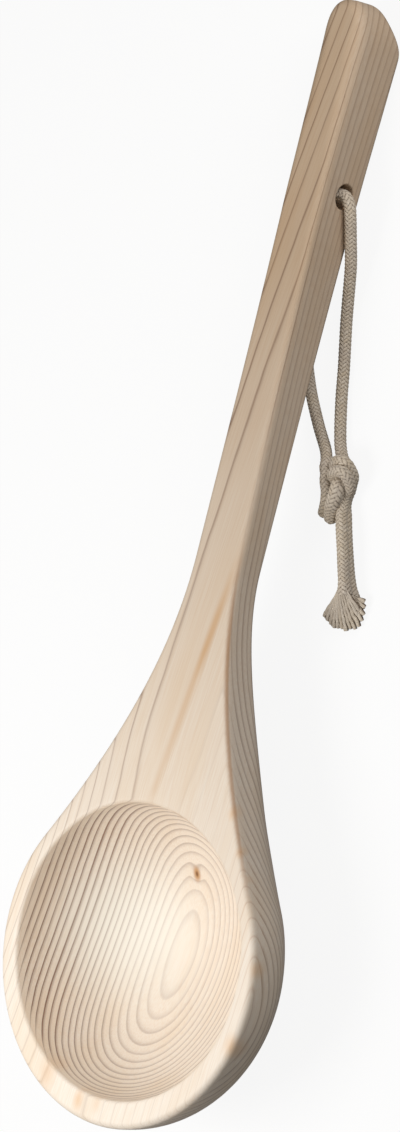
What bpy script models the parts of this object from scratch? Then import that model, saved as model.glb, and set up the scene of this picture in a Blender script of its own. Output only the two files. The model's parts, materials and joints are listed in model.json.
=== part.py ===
"""Sauna ladle: one carved piece of wood, a side-to-side hole near the handle's end, and a loop of
braided cotton cord whose two ends are tied in one overhand knot.

Metres, +Z up. The ladle lies as it is put down: the bowl's underside and the underside of the
handle's end touch z = 0, the bowl opens upward, and the handle runs toward +Y.
The carved body is worked out in its own frame (bowl's mouth centred on the origin, flat top face
at z = 0) and then laid down, tilted by the angle at which both ends touch.
"""
import math

import bmesh
import bpy
import numpy as np
from mathutils import Matrix, Vector

# Bowl
MOUTH_RADIUS = 0.052          # round opening in the top face
INSIDE_DEPTH = 0.0385
BOTTOM_THICKNESS = 0.0082
RIM_SIDE = 0.0072             # width of the flat rim left and right
RIM_FRONT = 0.0100            # and at the front, where it is widest
OUTSIDE_SHIFT = 0.0020        # the outer oval sits this far forward of the mouth
UPRIGHT_WALL = 0.0052         # the outer wall drops straight this far, then curves under
MOUTH_ROUND = 0.0014          # softened inner edge of the rim

# Neck, handle and their undersides
NECK_LEAVES_AT = math.radians(31.5)    # angle on the outer oval where the neck's curve begins
KEEL_LEAVES_AT = math.radians(15.0)    # the same for the underside's centre line
NECK_LENGTH = 0.1105
HANDLE_LENGTH = 0.1997
NECK_WIDTH = 0.0217
WAIST_WIDTH = 0.0172
WAIST_FROM_END = 0.065
END_WIDTH = 0.0190
NECK_THICKNESS = 0.0136
END_THICKNESS = 0.0262
EDGE_ROUND_BOWL = 0.0025      # top edges: radius along the bowl and the neck
EDGE_ROUND_END = 0.0060       # and at the handle's end
EDGE_SOFTENS = 0.0750         # over this last stretch they grow from one to the other
UNDER_CORNER = 0.0030         # lower edges of the handle
END_PLAN_ROUND = 0.0160       # the end is rounded over this length, seen from above
END_SQUARENESS = 2.35         # 2 is an ellipse, more is squarer
END_UNDERCUT = 0.0220         # and its underside is carved back this far
END_LIP = 0.0110              # upright part left at the very end
END_FAN = 0.0480              # over this length the underside's ribs slant back to it
BOTTOM_FLAT = 0.0003          # sanded off where the ladle touches the table

# Hole and cord
HOLE_DIAMETER = 0.0090
HOLE_DOWN = 0.58              # share of the handle's thickness above the hole's middle
HOLE_FROM_END = 0.0669
CORD_DIAMETER = 0.0042
FIT_GAP = 0.0003              # between pieces that touch

# How finely the carved body is drawn
OVAL_STEPS = 22
NECK_STEPS = 12
HANDLE_STEPS = 8
END_STEPS = 6
EDGE_STEPS = 3
UNDER_STEPS = 7
MOUTH_SEGMENTS = 64
MOUTH_STEPS = 12
LIP_STEPS = 3
HOLE_SIDES = 20

SUPPORT_SPLIT = 0.100         # the bowl touches the table before this Y, the handle after it

# The cord's route, chosen by hand, in metres: x, the distance along the ladle from the hole's axis
# and the height over the table. The knot's own faces add the last points of the strands and the
# first ones of the tails.
RIGHT_STRAND = [
    (0.0002, -0.0010, 0.0138), (0.0045, -0.0010, 0.0138), (0.0085, -0.0011, 0.0139), (0.0109, -0.0034, 0.0139),
    (0.0114, -0.0070, 0.0132), (0.0115, -0.0134, 0.0114), (0.0116, -0.0220, 0.0089), (0.0110, -0.0283, 0.0070),
    (0.0103, -0.0347, 0.0052), (0.0101, -0.0430, 0.0036), (0.0108, -0.0514, 0.0027), (0.0120, -0.0593, 0.0025),
    (0.0132, -0.0680, 0.0025), (0.0148, -0.0762, 0.0027),
]
LEFT_STRAND = [
    (-0.0002, -0.0010, 0.0138), (-0.0045, -0.0010, 0.0138), (-0.0085, -0.0011, 0.0139), (-0.0110, -0.0034, 0.0138),
    (-0.0126, -0.0090, 0.0122), (-0.0138, -0.0190, 0.0082), (-0.0137, -0.0300, 0.0046), (-0.0118, -0.0410, 0.0030),
    (-0.0082, -0.0520, 0.0025), (-0.0041, -0.0623, 0.0025), (-0.0003, -0.0706, 0.0025), (0.0052, -0.0798, 0.0026),
]
NEAR_TAIL = [(0.0309, -0.1212, 0.0067), (0.0335, -0.1308, 0.0067)]
FAR_TAIL = [(0.0292, -0.1212, 0.0023), (0.0319, -0.1300, 0.0023)]
STRAND_POINTS = 26
TAIL_POINTS = 5

KNOT_MIDDLE = (0.0218, -0.1003)        # x and the distance along the ladle from the hole's axis
KNOT_HEADING = math.radians(-64.0)     # from the strands to the tails, seen from above, +X is 0
KNOT_LENGTH = 0.0265
KNOT_WIDTH = 0.0145
KNOT_HEIGHT = 0.0125
KNOT_ENTRY = (0.0126, 0.0064)          # flat face where the strands go in: width, height
KNOT_EXIT = (0.0070, 0.0096)           # flat face where the tails come out
KNOT_SWELL = 0.7                       # under 1 the knot fills out fast behind its faces
STRANDS_APART = 0.0072
TAILS_APART = (0.0016, 0.0044)         # the near tail lies on the far one: sideways and in height
KNOT_SIDES = 16
KNOT_RINGS = 9

# Frayed ends: steps from the tail's end to the middle of each ring, then the ring's width and height
NEAR_FRAY = [
    (-0.0012, -0.0036, -0.0004, 0.0060, 0.0044), (-0.0028, -0.0070, -0.0014, 0.0082, 0.0050),
    (-0.0040, -0.0120, -0.0030, 0.0100, 0.0054), (-0.0036, -0.0160, -0.0041, 0.0086, 0.0042),
]
FAR_FRAY = [
    (0.0034, -0.0032, 0.0001, 0.0044, 0.0042), (0.0066, -0.0066, 0.0004, 0.0056, 0.0048),
    (0.0084, -0.0098, 0.0001, 0.0052, 0.0040),
]
FRAY_SIDES = 12

WOOD = dict(color=(0.78, 0.62, 0.45, 1.0), roughness=0.55, metallic=0.0)
COTTON = dict(color=(0.70, 0.64, 0.52, 1.0), roughness=0.95, metallic=0.0)

OVAL_HALF_WIDTH = MOUTH_RADIUS + RIM_SIDE
OVAL_HALF_LENGTH = MOUTH_RADIUS + RIM_FRONT - OUTSIDE_SHIFT
OVAL_Y = -OUTSIDE_SHIFT
OUTSIDE_DEPTH = INSIDE_DEPTH + BOTTOM_THICKNESS
NECK_START_Y = OVAL_Y + OVAL_HALF_LENGTH * math.sin(NECK_LEAVES_AT)
KEEL_START_Y = OVAL_Y + OVAL_HALF_LENGTH * math.sin(KEEL_LEAVES_AT)
NECK_END_Y = NECK_START_Y + NECK_LENGTH
END_Y = NECK_END_Y + HANDLE_LENGTH
WAIST_Y = END_Y - WAIST_FROM_END
HOLE_Y = END_Y - HOLE_FROM_END


def smooth_step(t):
    t = np.clip(t, 0.0, 1.0)
    return t * t * (3 - 2 * t)


def hermite(t, start, start_slope, end, end_slope):
    """Cubic from start to end with the given slopes, t from 0 to 1."""
    return ((1 - 3 * t**2 + 2 * t**3) * start + (t - 2 * t**2 + t**3) * start_slope
            + (3 * t**2 - 2 * t**3) * end + (t**3 - t**2) * end_slope)


def oval_value_and_slope(half, angle):
    """Half width or depth of the oval at an angle, and how fast it changes with Y there."""
    return half * math.cos(angle), -half * math.tan(angle) / OVAL_HALF_LENGTH


def neck_half_width(y):
    """The neck's concave curve, from the outer oval to the narrow start of the handle."""
    value, slope = oval_value_and_slope(OVAL_HALF_WIDTH, NECK_LEAVES_AT)
    t = (y - NECK_START_Y) / NECK_LENGTH
    return hermite(t, value, slope * NECK_LENGTH, NECK_WIDTH / 2, handle_start_slope() * NECK_LENGTH)


def handle_start_slope():
    return 1.5 * (WAIST_WIDTH - NECK_WIDTH) / 2 / (WAIST_Y - NECK_END_Y)


def handle_half_width(y):
    """The handle narrows to a waist just before the hole and widens again to its end."""
    span = WAIST_Y - NECK_END_Y
    to_waist = hermite(np.clip((y - NECK_END_Y) / span, 0, 1), NECK_WIDTH / 2, handle_start_slope() * span,
                       WAIST_WIDTH / 2, 0.0)
    to_end = WAIST_WIDTH / 2 + (END_WIDTH - WAIST_WIDTH) / 2 * smooth_step((y - WAIST_Y) / WAIST_FROM_END)
    return np.where(y < WAIST_Y, to_waist, to_end)


def keel_depth(y):
    """Depth of the underside's centre line under the top face."""
    oval = OUTSIDE_DEPTH * np.sqrt(np.clip(1 - ((y - OVAL_Y) / OVAL_HALF_LENGTH)**2, 0, 1))
    value, slope = oval_value_and_slope(OUTSIDE_DEPTH, KEEL_LEAVES_AT)
    span = NECK_END_Y - KEEL_START_Y
    taper = (END_THICKNESS - NECK_THICKNESS) / HANDLE_LENGTH
    neck = hermite(np.clip((y - KEEL_START_Y) / span, 0, 1), value, slope * span, NECK_THICKNESS, taper * span)
    handle = NECK_THICKNESS + taper * (y - NECK_END_Y)
    return np.where(y < KEEL_START_Y, oval, np.where(y < NECK_END_Y, neck, handle))


def hole_middle():
    """The hole runs side to side, a little under the middle of the handle's thickness."""
    return Vector((0, HOLE_Y, -float(keel_depth(np.array(HOLE_Y))) * HOLE_DOWN))


def right_outline():
    """The top view's right half, from the bowl's front to the handle's end, as x and y."""
    angle = np.linspace(-math.pi / 2, NECK_LEAVES_AT, OVAL_STEPS + 1)
    oval = np.stack([OVAL_HALF_WIDTH * np.cos(angle), OVAL_Y + OVAL_HALF_LENGTH * np.sin(angle)], 1)
    y = np.linspace(NECK_START_Y, NECK_END_Y, NECK_STEPS + 1)[1:]
    neck = np.stack([neck_half_width(y), y], 1)
    y = np.linspace(NECK_END_Y, END_Y - END_PLAN_ROUND, HANDLE_STEPS + 1)[1:]
    handle = np.stack([handle_half_width(y), y], 1)
    angle = np.linspace(0, math.pi / 2, END_STEPS + 1)[1:]
    y = END_Y - END_PLAN_ROUND * (1 - np.sin(angle)**(2 / END_SQUARENESS))
    end = np.stack([handle_half_width(y) * np.clip(np.cos(angle), 0, 1)**(2 / END_SQUARENESS), y], 1)
    outline = np.concatenate([oval, neck, handle, end])
    outline[[0, -1], 0] = 0.0
    return outline


def closed_outline():
    """The whole top view, once round, front and end points only once."""
    right = right_outline()
    left = right[-2:0:-1] * (-1, 1)
    return np.concatenate([right, left])


def outward(outline):
    """Unit normals of a closed outline that runs anticlockwise."""
    along = np.roll(outline, -1, 0) - np.roll(outline, 1, 0)
    normal = np.stack([along[:, 1], -along[:, 0]], 1)
    return normal / np.linalg.norm(normal, axis=1, keepdims=True)


def body_loops():
    """Loops round the carved body, from the top face's edge down to the keel.

    Each point of the outline has its own rib: the rounded top edge, an upright stretch, a quarter
    oval and a flat stretch, which ends on the underside's centre line.
    """
    outline = closed_outline()
    normal = outward(outline)
    y = outline[:, 1]
    # Where each rib ends: ribs of the bowl's front meet in one point, those of the neck fan out
    past = np.clip(y - OVAL_Y, 0, None)
    slant = np.clip((y - (END_Y - END_FAN)) / END_FAN, 0, 1)
    keel_y = OVAL_Y + past * smooth_step(past / OVAL_HALF_LENGTH) - END_UNDERCUT * slant**2
    keel = np.stack([0 * y, keel_y], 1)
    depth = keel_depth(keel_y)
    reach = np.linalg.norm(outline - keel, axis=1)
    inward = (keel - outline) / reach[:, None]
    handle_like = smooth_step((y - NECK_START_Y) / NECK_LENGTH)
    end_like = smooth_step((y - (END_Y - END_PLAN_ROUND)) / END_PLAN_ROUND)
    corner = reach * (1 - handle_like) + UNDER_CORNER * handle_like
    upright = UPRIGHT_WALL * (1 - handle_like) + (depth - UNDER_CORNER) * handle_like
    corner = np.minimum(corner * (1 - end_like) + reach * end_like, reach)
    upright = upright * (1 - end_like) + END_LIP * end_like
    edge_round = EDGE_ROUND_BOWL + (EDGE_ROUND_END - EDGE_ROUND_BOWL) * smooth_step(
        (y - (END_Y - EDGE_SOFTENS)) / EDGE_SOFTENS)
    loops = []
    for step in range(EDGE_STEPS + 1):
        turn = math.pi / 2 * step / EDGE_STEPS
        place = outline - normal * (edge_round * (1 - math.sin(turn)))[:, None]
        loops.append(np.column_stack([place, -edge_round * (1 - math.cos(turn))]))
    for step in range(UNDER_STEPS + 1):
        turn = math.pi / 2 * step / UNDER_STEPS
        place = outline + inward * (corner * (1 - math.cos(turn)))[:, None]
        loops.append(np.column_stack([place, -upright - (depth - upright) * math.sin(turn)]))
    loops.append(np.column_stack([keel, -depth]))
    return loops


def resting_tilt(points):
    """Angle that brings the bowl's and the handle's lowest points to one level."""
    def level_difference(tilt):
        height = points[:, 2] * math.cos(tilt) - points[:, 1] * math.sin(tilt)
        bowl = points[:, 1] < SUPPORT_SPLIT
        return height[bowl].min() - height[~bowl].min()
    low, high = 0.0, math.radians(20)
    for _ in range(50):
        middle = (low + high) / 2
        if level_difference(middle) < 0:
            low = middle
        else:
            high = middle
    return (low + high) / 2


def laid_down(points):
    """The turn and shift from the body's own frame to the one it lies in."""
    tilt = resting_tilt(points)
    turned = Matrix.Rotation(-tilt, 4, "X")
    placed = np.array([turned @ Vector(point) for point in points])
    middle = (placed[:, 1].min() + placed[:, 1].max()) / 2
    return Matrix.Translation((0, -middle, -placed[:, 2].min() - BOTTOM_FLAT)) @ turned


def make_material(name, color, roughness, metallic):
    material = bpy.data.materials.new(name)
    material.use_nodes = True
    shader = material.node_tree.nodes["Principled BSDF"]
    shader.inputs["Base Color"].default_value = color
    shader.inputs["Roughness"].default_value = roughness
    shader.inputs["Metallic"].default_value = metallic
    return material


def add_object(name, data, material=None):
    thing = bpy.data.objects.new(name, data)
    bpy.context.scene.collection.objects.link(thing)
    if material:
        data.materials.append(material)
    return thing


def mesh_from(name, bm, smooth_angle=math.radians(35)):
    bmesh.ops.remove_doubles(bm, verts=bm.verts, dist=1e-6)
    bmesh.ops.recalc_face_normals(bm, faces=bm.faces)
    mesh = bpy.data.meshes.new(name)
    bm.to_mesh(mesh)
    bm.free()
    mesh.shade_smooth()
    mesh.set_sharp_from_angle(angle=smooth_angle)
    return mesh


def skin_loops(bm, loops, cap_start=True, cap_end=True):
    """Joins closed loops of equally many points into one skin."""
    rings = [[bm.verts.new(point) for point in loop] for loop in loops]
    count = len(rings[0])
    for upper, lower in zip(rings, rings[1:]):
        for i in range(count):
            j = (i + 1) % count
            bm.faces.new((upper[i], upper[j], lower[j], lower[i]))
    if cap_start:
        bm.faces.new(rings[0])
    if cap_end:
        bm.faces.new(rings[-1])


def make_cutter(name, mesh, parent=None):
    cutter = add_object(name, mesh)
    cutter.hide_render = True
    cutter.display_type = "WIRE"
    cutter.parent = parent
    return cutter


def cut_with(thing, cutter):
    modifier = thing.modifiers.new(cutter.name, "BOOLEAN")
    modifier.operation = "DIFFERENCE"
    modifier.object = cutter


def mouth_cutter_mesh():
    """The bowl's hollow: a quarter oval turned round the mouth's axis, with a softened lip."""
    profile = [(0.0, MOUTH_ROUND), (MOUTH_RADIUS + MOUTH_ROUND, MOUTH_ROUND)]
    for step in range(LIP_STEPS):
        turn = math.pi / 2 * step / LIP_STEPS
        profile.append((MOUTH_RADIUS + MOUTH_ROUND * (1 - math.sin(turn)),
                        -MOUTH_ROUND * (1 - math.cos(turn))))
    wall_depth = INSIDE_DEPTH - MOUTH_ROUND
    for step in range(MOUTH_STEPS):
        turn = math.pi / 2 * step / MOUTH_STEPS
        profile.append((MOUTH_RADIUS * math.cos(turn), -MOUTH_ROUND - wall_depth * math.sin(turn)))
    profile.append((0.0, -INSIDE_DEPTH))
    bm = bmesh.new()
    verts = [bm.verts.new((radius, 0, z)) for radius, z in profile]
    edges = [bm.edges.new(pair) for pair in zip(verts, verts[1:])]
    bmesh.ops.spin(bm, geom=verts + edges, cent=(0, 0, 0), axis=(0, 0, 1), angle=math.tau,
                   steps=MOUTH_SEGMENTS, use_duplicate=False)
    return mesh_from("mouth_cutter", bm)


def hole_cutter_mesh():
    bm = bmesh.new()
    bmesh.ops.create_cone(bm, cap_ends=True, segments=HOLE_SIDES, radius1=HOLE_DIAMETER / 2,
                          radius2=HOLE_DIAMETER / 2, depth=2 * (END_WIDTH + NECK_WIDTH),
                          matrix=Matrix.Rotation(math.pi / 2, 4, "Y"))
    return mesh_from("hole_cutter", bm)


def table_cutter_mesh():
    """A block whose upper face is the table."""
    bm = bmesh.new()
    size = 2 * END_Y
    bmesh.ops.create_cube(bm, size=1.0, matrix=Matrix.Translation((0, 0, -size / 2)) @ Matrix.Diagonal(
        (size, size, size, 1)))
    return mesh_from("table_cutter", bm)


def make_ladle_body(wood):
    loops = body_loops()
    bm = bmesh.new()
    skin_loops(bm, loops, cap_end=False)
    body = add_object("ladle_body", mesh_from("ladle_body", bm), wood)
    body.matrix_world = laid_down(np.concatenate(loops))
    mouth = make_cutter("mouth_cutter", mouth_cutter_mesh(), body)
    hole = make_cutter("hole_cutter", hole_cutter_mesh(), body)
    hole.location = hole_middle()
    table = make_cutter("table_cutter", table_cutter_mesh())
    for cutter in (mouth, hole, table):
        cut_with(body, cutter)
    return body


def smooth_route(points, count):
    """Evenly spaced points on the smooth curve through the route's own points."""
    points = [Vector(point) for point in points]
    padded = [2 * points[0] - points[1]] + points + [2 * points[-1] - points[-2]]
    dense = []
    for a, b, c, d in zip(padded, padded[1:], padded[2:], padded[3:]):
        for step in range(20):
            t = step / 20
            dense.append(0.5 * (2 * b + (c - a) * t + (2 * a - 5 * b + 4 * c - d) * t * t
                                + (3 * b - a - 3 * c + d) * t**3))
    dense.append(points[-1])
    reach = np.concatenate([[0], np.cumsum([(q - p).length for p, q in zip(dense, dense[1:])])])
    place = np.array(dense)
    wanted = np.linspace(0, reach[-1], count)
    return np.stack([np.interp(wanted, reach, place[:, axis]) for axis in range(3)], 1)


def hang_on(piece, swing):
    """Hangs a piece of the cord on the hole's axis, from which its own points are measured."""
    piece.parent = swing
    piece.matrix_parent_inverse = swing.matrix_world.inverted()
    piece.location.y = swing.matrix_world.translation.y


def make_cord(name, route, count, cotton, parent):
    curve = bpy.data.curves.new(name, "CURVE")
    curve.dimensions = "3D"
    curve.bevel_depth = CORD_DIAMETER / 2
    curve.bevel_resolution = 2
    curve.render_resolution_u = 0
    curve.use_fill_caps = True
    spline = curve.splines.new("POLY")
    points = smooth_route(route, count)
    spline.points.add(count - 1)
    for point, place in zip(spline.points, points):
        point.co = (*place, 1)
    cord = add_object(name, curve, cotton)
    hang_on(cord, parent)
    return cord


def oval_loop(centre, across, up, width, height, sides):
    return [centre + across * (width / 2 * math.cos(math.tau * i / sides))
            + up * (height / 2 * math.sin(math.tau * i / sides)) for i in range(sides)]


def make_tuft(name, rings, cotton, parent, sides):
    """A closed soft shape from oval rings, given as centre, direction, width and height."""
    bm = bmesh.new()
    loops = []
    for centre, along, width, height in rings:
        across = Vector((-along.y, along.x, 0)).normalized()
        up = along.cross(across)
        if up.z < 0:
            up.negate()
        loops.append(oval_loop(centre, across, up, width, height, sides))
    skin_loops(bm, loops)
    tuft = add_object(name, mesh_from(name, bm), cotton)
    hang_on(tuft, parent)
    return tuft


def knot_axes():
    along = Vector((math.cos(KNOT_HEADING), math.sin(KNOT_HEADING), 0))
    return along, Vector((-along.y, along.x, 0))


def knot_port(end, side=0.0, height=0.0):
    """Two points that lead a cord straight onto a flat face of the knot, the outer one first.

    end is -1 where the strands enter and 1 where the tails leave, and side and height are
    measured from the middle of that face.
    """
    along, across = knot_axes()
    face_height = (KNOT_ENTRY if end < 0 else KNOT_EXIT)[1]
    on_face = Vector((*KNOT_MIDDLE, face_height / 2 + FIT_GAP + height)) + across * side
    return [on_face + along * (end * (KNOT_LENGTH / 2 + FIT_GAP + lead)) for lead in (CORD_DIAMETER, 0.0)]


def make_knot(cotton, parent):
    """The overhand knot's outer shape, flat where the strands enter and the tails leave."""
    along, across = knot_axes()
    rings = []
    for ring in range(KNOT_RINGS):
        s = ring / (KNOT_RINGS - 1)
        swell = max(math.sin(math.pi * s), 0)**KNOT_SWELL
        face_width = KNOT_ENTRY[0] + (KNOT_EXIT[0] - KNOT_ENTRY[0]) * s
        face_height = KNOT_ENTRY[1] + (KNOT_EXIT[1] - KNOT_ENTRY[1]) * s
        width = face_width + (KNOT_WIDTH - face_width) * swell
        height = face_height + (KNOT_HEIGHT - face_height) * swell
        centre = Vector((*KNOT_MIDDLE, height / 2 + FIT_GAP)) + along * (KNOT_LENGTH * (s - 0.5))
        rings.append((centre, along, width, height))
    return make_tuft("cord_knot", rings, cotton, parent, KNOT_SIDES)


def make_frayed_end(name, tail, fray, cotton, parent):
    end = Vector(tail[-1])
    along = (end - Vector(tail[-2])).normalized()
    rings = [(end + along * FIT_GAP, along, CORD_DIAMETER, CORD_DIAMETER)]
    for x, y, z, width, height in fray:
        centre = end + Vector((x, y, z))
        step = centre - rings[-1][0]
        rings.append((centre, Vector((step.x, step.y, 0)).normalized(), width, height))
    return make_tuft(name, rings, cotton, parent, FRAY_SIDES)


def build():
    for thing in list(bpy.data.objects):
        bpy.data.objects.remove(thing)
    wood = make_material("pale_softwood", **WOOD)
    cotton = make_material("undyed_cotton", **COTTON)
    body = make_ladle_body(wood)

    axis_point = body.matrix_world @ hole_middle()
    swing = bpy.data.objects.new("cord_swing", None)
    bpy.context.scene.collection.objects.link(swing)
    swing.matrix_world = Matrix.Translation(axis_point)
    right_strand = RIGHT_STRAND + knot_port(-1, side=STRANDS_APART / 2)
    left_strand = LEFT_STRAND + knot_port(-1, side=-STRANDS_APART / 2)
    sideways, above = (apart / 2 for apart in TAILS_APART)
    near_tail = knot_port(1, side=sideways, height=above)[::-1] + NEAR_TAIL
    far_tail = knot_port(1, side=-sideways, height=-above)[::-1] + FAR_TAIL
    make_cord("cord_right_strand", right_strand, STRAND_POINTS, cotton, swing)
    make_cord("cord_left_strand", left_strand, STRAND_POINTS, cotton, swing)
    make_knot(cotton, swing)
    make_cord("cord_tail_near", near_tail, TAIL_POINTS, cotton, swing)
    make_cord("cord_tail_far", far_tail, TAIL_POINTS, cotton, swing)
    make_frayed_end("frayed_end_near", near_tail, NEAR_FRAY, cotton, swing)
    make_frayed_end("frayed_end_far", far_tail, FAR_FRAY, cotton, swing)
    print("hole axis at", tuple(round(value, 5) for value in axis_point))
    print("tilt", round(math.degrees(body.matrix_world.to_euler().x), 4))


build()
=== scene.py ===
import json
import math
from functools import partial

import bmesh
import bpy
import numpy as np
from mathutils import Matrix, Vector


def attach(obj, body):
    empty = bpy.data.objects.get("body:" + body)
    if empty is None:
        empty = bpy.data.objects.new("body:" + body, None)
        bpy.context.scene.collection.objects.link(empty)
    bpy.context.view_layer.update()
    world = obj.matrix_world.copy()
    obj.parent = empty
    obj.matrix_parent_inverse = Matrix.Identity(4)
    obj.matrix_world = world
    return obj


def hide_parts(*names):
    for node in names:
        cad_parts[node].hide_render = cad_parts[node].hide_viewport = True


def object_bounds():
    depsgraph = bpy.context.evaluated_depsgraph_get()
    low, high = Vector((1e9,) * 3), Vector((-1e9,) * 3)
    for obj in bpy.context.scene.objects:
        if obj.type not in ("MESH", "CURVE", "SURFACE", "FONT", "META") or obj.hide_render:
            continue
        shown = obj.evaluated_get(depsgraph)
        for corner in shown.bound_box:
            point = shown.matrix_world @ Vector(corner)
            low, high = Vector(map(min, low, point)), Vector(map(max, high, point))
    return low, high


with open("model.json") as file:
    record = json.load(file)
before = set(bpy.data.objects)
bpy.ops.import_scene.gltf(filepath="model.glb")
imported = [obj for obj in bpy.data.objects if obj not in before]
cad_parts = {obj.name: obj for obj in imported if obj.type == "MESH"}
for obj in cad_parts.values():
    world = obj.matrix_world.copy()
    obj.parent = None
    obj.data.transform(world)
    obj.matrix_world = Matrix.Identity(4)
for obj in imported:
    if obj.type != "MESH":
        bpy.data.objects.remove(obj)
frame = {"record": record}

cadBox = [list(corner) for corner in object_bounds()]
joints = frame["record"]["behaviour"]["joints"]
holeAxis = next(joint["pos_m"] for joint in joints if joint["name"] == "loop_swing")
topFace = next(mount for mount in frame["record"]["mounts"] if mount["name"] == "top_face")
white = (1, 1, 1, 1)


# sRGB hex code to the linear colour that nodes take
def hexColour(code):
    values = [int(code[i:i + 2], 16) / 255 for i in (0, 2, 4)]
    return [v / 12.92 if v <= 0.04045 else ((v + 0.055) / 1.055) ** 2.4 for v in values] + [1.0]


# An input given as a socket is linked, any other value is set
def setInputs(node, inputs):
    for key, value in inputs.items():
        if isinstance(value, bpy.types.NodeSocket):
            node.id_data.links.new(value, node.inputs[key])
        else:
            node.inputs[key].default_value = value


# Adds one shader node with its settings and gives its output: the named one, or else the first in use.
# Stops fill a colour ramp; a stop's colour may be one number, for grey.
def addNode(tree, kind, inputs=None, output=None, stops=(), **settings):
    node = tree.nodes.new("ShaderNode" + kind)
    for name, value in settings.items():
        setattr(node, name, value)
    setInputs(node, inputs or {})
    while stops and len(node.color_ramp.elements) < len(stops):
        node.color_ramp.elements.new(1.0)
    for number, (place, colour) in enumerate(stops):
        element = node.color_ramp.elements[number]
        element.position = place
        element.color = colour if isinstance(colour, (list, tuple)) else (colour, colour, colour, 1)
    return node.outputs[output] if output else next((one for one in node.outputs if one.enabled), None)


# A material, its shader and the helper that adds nodes to it
def newMaterial(name):
    material = bpy.data.materials.new(name)
    material.use_nodes = True
    tree = material.node_tree
    return material, tree.nodes["Principled BSDF"], partial(addNode, tree)


def newObject(name, data, material=None):
    thing = bpy.data.objects.new(name, data)
    bpy.context.scene.collection.objects.link(thing)
    if material:
        data.materials.append(material)
    return thing


# With t held between 0 and 1: three times its square less twice its cube
def smoothStep(t):
    t = np.clip(t, 0.0, 1.0)
    return t * t * (3 - 2 * t)


# Cubic from start to end with the given slopes, t from 0 to 1
def hermite(t, start, startSlope, end, endSlope):
    return ((1 - 3 * t**2 + 2 * t**3) * start + (t - 2 * t**2 + t**3) * startSlope
            + (3 * t**2 - 2 * t**3) * end + (t**3 - t**2) * endSlope)


# Quads between the points of a grid of rows and columns, whose columns close into a ring
def gridFaces(rows, columns, first=0):
    row = np.arange(rows - 1)[:, None] * columns
    column = np.arange(columns)[None, :]
    after = (column + 1) % columns
    below = row + columns
    quads = np.broadcast_arrays(row + column, row + after, below + after, below + column)
    return np.stack(quads, -1).reshape(-1, 4) + first


# Evenly spaced points on the smooth curve through a route's own points: a cubic from each point to the
# next, whose slope at a point is half the step from the point before it to the point after it
def smoothRoute(route, count, between=20):
    route = np.array(route)
    padded = np.vstack([2 * route[0] - route[1], route, 2 * route[-1] - route[-2]])
    t = np.linspace(0, 1, between, endpoint=False)[:, None]
    dense = [0.5 * (2 * b + (c - a) * t + (2 * a - 5 * b + 4 * c - d) * t**2 + (3 * b - a - 3 * c + d) * t**3)
             for a, b, c, d in zip(padded, padded[1:], padded[2:], padded[3:])]
    dense = np.vstack(dense + [route[-1:]])
    reach = np.concatenate([[0], np.cumsum(np.linalg.norm(np.diff(dense, axis=0), axis=1))])
    wanted = np.linspace(0, reach[-1], count)
    return np.stack([np.interp(wanted, reach, dense[:, axis]) for axis in range(3)], 1)


# The sum of the distances between neighbours
def routeLength(points):
    return float(np.linalg.norm(np.diff(points, axis=0), axis=1).sum())


# Side and upper vectors that follow a line without twisting about it: each side vector is the last one less
# its part along the line, and the upper one is at right angles to both
def framesAlong(points):
    along = np.gradient(points, axis=0)
    along /= np.linalg.norm(along, axis=1, keepdims=True)
    side = np.zeros_like(points)
    start = np.cross(along[0], (0.0, 0.0, 1.0))
    side[0] = start / np.linalg.norm(start)
    for i in range(1, len(points)):
        carried = side[i - 1] - along[i] * side[i - 1].dot(along[i])
        side[i] = carried / np.linalg.norm(carried)
    return side, np.cross(side, along)


# Camera, at the photograph's place: a long lens from the right, above the table
camera = dict(place=(1.041843, 0.177560, 1.226872), right=(0.72411, 0.18130, -0.66543),
              down=(0.20987, -0.97700, -0.03782), forward=(-0.65698, -0.11226, -0.74550),
              lens=145.83, sensor=36, nearest=0.05, farthest=20)


def makeCamera():
    data = bpy.data.cameras.new("camera")
    data.sensor_width = camera["sensor"]
    data.sensor_fit = "AUTO"
    data.lens = camera["lens"]
    data.clip_start = camera["nearest"]
    data.clip_end = camera["farthest"]
    thing = newObject("camera", data)
    axes = Matrix((camera["right"], -Vector(camera["down"]), -Vector(camera["forward"])))
    thing.matrix_world = Matrix.Translation(camera["place"]) @ axes.transposed().to_4x4()
    bpy.context.scene.camera = thing


makeCamera()
print("camera done")


# Braided cotton cord. The front of the knot is pressed flat, so the cord swells there, and the braid
# opens at its bare ends. Routes are x, the distance along the ladle from the hole's axis, and the height
# over the table. Each half starts in the middle of the hole and ends at the tip of its tail.
cord = dict(diameter=0.0042, sides=80, ringsPerMetre=5200, points=300, declaredPoints=70, carriers=8,
            yarnPitch=0.00145, yarnRound=0.70, yarnWave=0.32, braidHeight=0.00042, braidMiddle=0.80,
            swell=0.32, swellAt=0.1175, swellOver=0.0090, opens=0.28, opensOver=0.0060,
            yarnTints=(0.2, 0.8), stitchTint=0.2, stitchKinds=997, stitchSteps=(7, 3), holeMouth=0.0088,
            exitAhead=0.0002, exitHeight=0.0146, tableGap=0.00002)
rightStrand = [
    (0.0000, 0.0006, 0.0147), (0.0045, 0.0006, 0.0147), (0.0084, 0.0003, 0.0146),
    (0.0108, -0.0024, 0.0144), (0.0114, -0.0066, 0.0134), (0.0115, -0.0134, 0.0114),
    (0.0116, -0.0220, 0.0089), (0.0110, -0.0283, 0.0070), (0.0103, -0.0347, 0.0052),
    (0.0101, -0.0430, 0.0036), (0.0108, -0.0514, 0.0027), (0.0120, -0.0593, 0.0025),
    (0.0132, -0.0680, 0.0025), (0.0148, -0.0762, 0.0026), (0.0160, -0.0812, 0.0027),
]
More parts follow.
